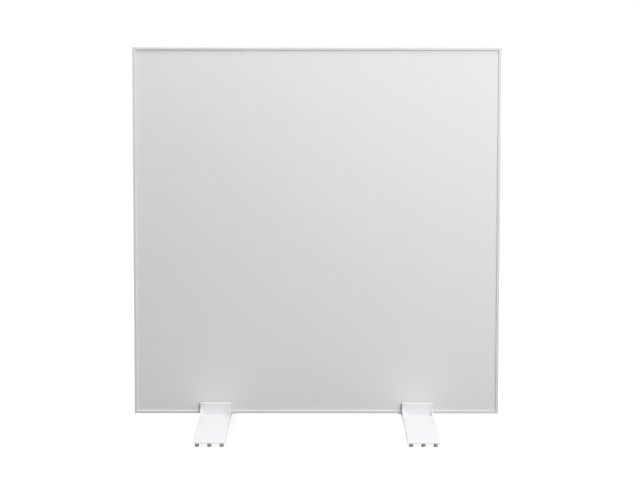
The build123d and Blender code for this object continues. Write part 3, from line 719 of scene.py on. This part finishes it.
@dataclass
class JunctionBox:
    """The moulded box on the back, its terminals and its cable gland.

    Attributes:
        lid_screws: The screws at the lid's corners.
    """

    lid_screws: CrossScrews = field(
        default_factory=lambda: CrossScrews(
            "lid_screws",
            shank_radius=1.5,
            head_radius=2.7,
            head_depth=1.3,
            countersunk=False,
            arm_reach=1.5,
            arm_width=0.65,
            recess_depth=0.9,
        )
    )

    def dress(self) -> None:
        """Gives the box, what it holds and its gland their finishes."""
        dress(BOX_PLASTIC, ["box_base", "box_lid"])
        dress(RIVET_METAL, ["box_rivets"])
        dress(BLACK_RUBBER, ["lead_grommet", "gland_seal"])
        dress(TERMINAL_PLASTIC, ["terminal_block"])
        dress(BRASS, ["terminal_barrels"])
        dress(ZINC, ["terminal_screws", "earth_stud", "earth_nut"])
        dress(TINNED, ["earth_lug"])
        dress(BROWN_SILICONE, ["supply_leads"])
        dress(EARTH_SILICONE, ["earth_lead"])
        dress(GLAND_PLASTIC, ["gland_body", "gland_locknut", "gland_nut"])

    def build(self) -> None:
        """Dresses the box and builds its lid's screws."""
        self.dress()
        self.lid_screws.build()


@dataclass
class ThreadedScrew:
    """The captive screw of a clamp: collar, journal, thread and shank along +Y. Lengths are in mm.

    Attributes:
        node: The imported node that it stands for.
        body: The body that it rides on.
        collar_radius: Radius of the collar held in the pressure plate.
        collar_length: Its length.
        collar_bevel: Bevel round the collar's free end.
        journal_radius: Radius between collar and thread.
        thread_start: From the screw's tip to its first turn.
        thread_radius: Outer radius of the thread, and radius of the shank inside the knob.
        thread_depth: Crest to root.
        thread_length: Length of the thread that can show.
        pitch: One turn of the thread.
        rows_per_turn: Rings for each turn.
        steps: Points round the axis.
    """

    node: str
    body: Body
    collar_radius: float = 3.8
    collar_length: float = 1.95
    collar_bevel: float = 0.3
    journal_radius: float = 2.25
    thread_start: float = 3.45
    thread_radius: float = 2.95
    thread_depth: float = 0.55
    thread_length: float = 15.0
    pitch: float = 1.0
    rows_per_turn: int = 6
    steps: int = 28

    def plain(self, radius: float, along: float) -> list[Vector]:
        """A round ring at a distance from the tip."""
        return ring(radius * MM, along * MM, self.steps)

    def waved(self, along: float) -> list[Vector]:
        """A ring that rises to the crest and falls to the root once, where the helix has turned to.

        Args:
            along: Distance from the tip.

        Returns:
            The ring's points.
        """
        points = []
        for step, point in enumerate(self.plain(1.0, along)):
            phase = (along / self.pitch - step / self.steps) % 1.0
            radius = self.thread_radius - self.thread_depth * abs(2 * phase - 1)
            points.append(Vector((point.x * radius, point.y, point.z * radius)))
        return points

    def rings(self, length: float) -> list[list[Vector]]:
        """Every ring of the screw, from its tip.

        Args:
            length: The screw's whole length.

        Returns:
            The rings, in metres.
        """
        root = self.thread_radius - self.thread_depth
        end = self.thread_start + self.thread_length
        rows = round(self.thread_length / self.pitch * self.rows_per_turn)
        return [
            self.plain(self.collar_radius - self.collar_bevel, 0.0),
            self.plain(self.collar_radius, self.collar_bevel),
            self.plain(self.collar_radius, self.collar_length),
            self.plain(self.journal_radius, self.collar_length),
            self.plain(self.journal_radius, self.thread_start),
            self.plain(root, self.thread_start),
            *[self.waved(self.thread_start + self.thread_length * row / rows) for row in range(1, rows)],
            self.plain(root, end),
            self.plain(self.thread_radius, end),
            self.plain(self.thread_radius, length),
        ]

    def build(self) -> bpy.types.Object:
        """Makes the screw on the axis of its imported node.

        Returns:
            The piece, riding on the screw's body.
        """
        low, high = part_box(self.node)
        mesh = to_mesh(skin(self.rings((high.y - low.y) / MM)), f"{self.node}_thread")
        mesh.transform(Matrix.Translation(((low.x + high.x) / 2, low.y, (low.z + high.z) / 2)))
        piece = new_piece(f"{self.node}_thread", mesh)
        stand_in(piece, ZINC, self.node, self.body)
        return piece


@dataclass
class ClampFoot:
    """One arched foot with its screw clamp.

    Attributes:
        side: Which foot.
    """

    side: Side

    def name(self, piece: str) -> str:
        """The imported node's name of a piece of this foot."""
        return f"{self.side.value}_{piece}"

    def dress(self) -> None:
        """Gives the casting and what is fitted to it their finishes."""
        dress(CASTING_COAT, [self.name("casting")])
        dress(BUMPER_RUBBER, [self.name("bumpers")])
        dress(BLACK_RUBBER, [self.name(pad) for pad in ("seat_pad", "lining", "clamp_facing")])
        dress(ZINC, [self.name("pressure_plate")])
        dress(KNOB_PLASTIC, [self.name("clamp_knob")])

    def build(self) -> None:
        """Dresses the foot and builds its threaded screw."""
        self.dress()
        body = Body.LEFT_SCREW if self.side is Side.LEFT else Body.RIGHT_SCREW
        ThreadedScrew(self.name("clamp_screw"), body).build()


# ------------------------------------------------------------------ studio


@dataclass
class Lamp:
    """One soft box.

    Attributes:
        name: What the lamp does.
        place: Its middle, in metres.
        target: The point that it faces.
        size: The length of each of its sides.
        power: Its power in watts.
        hidden: Whether the camera looks through it.
    """

    name: str
    place: tuple[float, float, float]
    target: tuple[float, float, float]
    size: float
    power: float
    hidden: bool = False

    def build(self) -> None:
        """Puts the soft box in the scene."""
        data = bpy.data.lights.new(self.name, "AREA")
        data.shape = "SQUARE"
        data.size = self.size
        data.energy = self.power
        lamp = bpy.data.objects.new(self.name, data)
        lamp.visible_camera = not self.hidden
        bpy.context.scene.collection.objects.link(lamp)
        aim = Vector(self.target) - Vector(self.place)
        lamp.matrix_world = Matrix.Translation(self.place) @ aim.to_track_quat("-Z", "Y").to_matrix().to_4x4()


@dataclass
class Studio:
    """A pale floor, soft lights from the upper right, and the photograph's camera.

    Attributes:
        lens_mm: Focal length.
        sensor_mm: Width of the sensor that the focal length goes with.
        eye: The camera's place, in metres.
        pitch: Degrees by which it looks down.
        yaw: Degrees by which it looks to the right.
        roll: Degrees by which the picture leans clockwise.
        sky: Strength of the surround as a light; to the camera it is white.
        floor_half: Half the side of the floor, in metres.
        floor_colour: sRGB hex of the floor, which sets how much light it throws up.
        floor_roughness: Roughness of the paper.
        near: Distance from the object within which the lamps light the floor fully.
        far: Distance beyond which they hardly reach it.
        near_glow: What the floor adds for the camera inside the near distance.
        far_glow: What it adds beyond the far distance.
        lamps: The soft boxes. The two floor bounces lie in front of the feet, where the white paper
            throws light at their ends.
    """

    lens_mm: float = 63.51
    sensor_mm: float = 36.0
    eye: tuple[float, float, float] = (-0.0004, -1.859, 0.4082)
    pitch: float = 2.89
    yaw: float = 0.18
    roll: float = 0.081
    sky: float = 0.02
    floor_half: float = 6.0
    floor_colour: str = "#616161"
    floor_roughness: float = 0.9
    near: float = 0.3
    far: float = 2.4
    near_glow: float = 0.905
    far_glow: float = 0.99
    lamps: tuple[Lamp, ...] = (
        Lamp("Key light", (1.5, -2.6, 1.8), (0.0, 0.0, 0.3), 1.2, 35.6),
        Lamp("Fill light", (0.7, -2.75, 0.6), (0.0, 0.0, 0.4), 1.6, 21.0),
        Lamp("Side light", (1.6, -0.9, 0.8), (0.2, 0.0, 0.4), 0.8, 6.0),
        Lamp("Top light", (0.1, -0.15, 2.4), (0.0, -0.1, 0.0), 1.6, 9.7),
        Lamp("Left top light", (-0.5, -0.35, 2.2), (0.0, -0.1, 0.0), 1.0, 19.0),
        Lamp("Edge light", (-0.3, -0.6, 1.2), (0.0, 0.0, 0.5), 0.5, 1.4),
        Lamp("Back light", (-0.8, 2.2, 1.7), (0.0, 0.0, 0.3), 1.5, 56.0),
        Lamp("Right end light", (2.3, 0.4, 0.5), (0.0, 0.0, 0.3), 1.0, 9.0),
        Lamp("Left end light", (-2.3, 0.4, 0.5), (0.0, 0.0, 0.3), 1.0, 9.0),
        Lamp("Left floor bounce", (-0.168, -0.178, 0.001), (-0.168, -0.178, 1.0), 0.08, 0.016, hidden=True),
        Lamp("Right floor bounce", (0.168, -0.178, 0.001), (0.168, -0.178, 1.0), 0.08, 0.016, hidden=True),
    )

    def build(self) -> None:
        """Sets the whole studio."""
        self.floor()
        self.world()
        for lamp in self.lamps:
            lamp.build()
        self.camera()
        view = bpy.context.scene.view_settings
        view.view_transform = "Standard"
        view.look = "None"
        LOG.info("studio set with %d lamps", len(self.lamps))

    def floor(self) -> None:
        """A large pale floor at the height of the bumpers."""
        half = self.floor_half
        corners = [(-half, -half, 0), (half, -half, 0), (half, half, 0), (-half, half, 0)]
        mesh = bpy.data.meshes.new("studio_floor")
        mesh.from_pydata(corners, [], [(0, 1, 2, 3)])
        mesh.materials.append(self.floor_finish())
        floor = bpy.data.objects.new("studio_floor", mesh)
        bpy.context.scene.collection.objects.link(floor)

    def floor_finish(self) -> bpy.types.Material:
        """Seamless white paper, which shows as white but throws little light up at the object.

        Its glow shows to the camera alone, and rises with distance as the lamps reach it less.

        Returns:
            The floor's material.
        """
        material = bpy.data.materials.new("Pale studio floor")
        material.use_nodes = True
        tree = material.node_tree
        tree.nodes.clear()
        place = add_node(tree, "ShaderNodeTexCoord").outputs["Object"]
        away = add_node(tree, "ShaderNodeVectorMath", {"operation": "LENGTH"}, {0: place}).outputs["Value"]
        values = {"Value": away, "From Min": self.near, "From Max": self.far}
        values |= {"To Min": self.near_glow, "To Max": self.far_glow}
        rise = add_node(tree, "ShaderNodeMapRange", inputs=values).outputs["Result"]
        seen = add_node(tree, "ShaderNodeLightPath").outputs["Is Camera Ray"]
        glow = add_node(tree, "ShaderNodeMath", {"operation": "MULTIPLY"}, {0: seen, 1: rise})
        values = {
            "Base Color": linear(self.floor_colour),
            "Roughness": self.floor_roughness,
            "Emission Color": linear("#FFFFFF"),
            "Emission Strength": glow.outputs[0],
        }
        shader = add_node(tree, "ShaderNodeBsdfPrincipled", inputs=values)
        add_node(tree, "ShaderNodeOutputMaterial", inputs={"Surface": shader.outputs["BSDF"]})
        return material

    def world(self) -> None:
        """A surround that shows as white and hardly lights the object."""
        world = bpy.data.worlds.new("Studio surround")
        bpy.context.scene.world = world
        world.use_nodes = True
        tree = world.node_tree
        tree.nodes.clear()
        seen = add_node(tree, "ShaderNodeLightPath").outputs["Is Camera Ray"]
        limits = {"Value": seen, "To Min": self.sky, "To Max": 1.0}
        strength = add_node(tree, "ShaderNodeMapRange", inputs=limits).outputs["Result"]
        values = {"Color": linear("#FFFFFF"), "Strength": strength}
        surround = add_node(tree, "ShaderNodeBackground", inputs=values)
        add_node(tree, "ShaderNodeOutputWorld", inputs={"Surface": surround.outputs["Background"]})

    def camera(self) -> None:
        """The photograph's camera."""
        pitch, yaw, roll = (math.radians(angle) for angle in (self.pitch, self.yaw, self.roll))
        forward = Vector((math.sin(yaw) * math.cos(pitch), math.cos(yaw) * math.cos(pitch), -math.sin(pitch)))
        level = Vector((math.cos(yaw), -math.sin(yaw), 0.0))
        upright = level.cross(forward)
        right = math.cos(roll) * level + math.sin(roll) * upright
        up = math.cos(roll) * upright - math.sin(roll) * level
        data = bpy.data.cameras.new("Photograph camera")
        data.lens = self.lens_mm
        data.sensor_width = self.sensor_mm
        data.sensor_fit = "HORIZONTAL"
        data.clip_start = 0.01
        camera = bpy.data.objects.new("Photograph camera", data)
        bpy.context.scene.collection.objects.link(camera)
        axes = Matrix((right, up, -forward)).transposed().to_4x4()
        camera.matrix_world = Matrix.Translation(self.eye) @ axes
        bpy.context.scene.camera = camera


def main() -> None:
    """Builds every sub-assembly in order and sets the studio."""
    logging.basicConfig(level=logging.INFO, format="%(name)s: %(message)s")
    HeatedPanel().build()
    JunctionBox().build()
    for side in Side:
        ClampFoot(side).build()
    Studio().build()


if __name__ == "__main__":
    main()
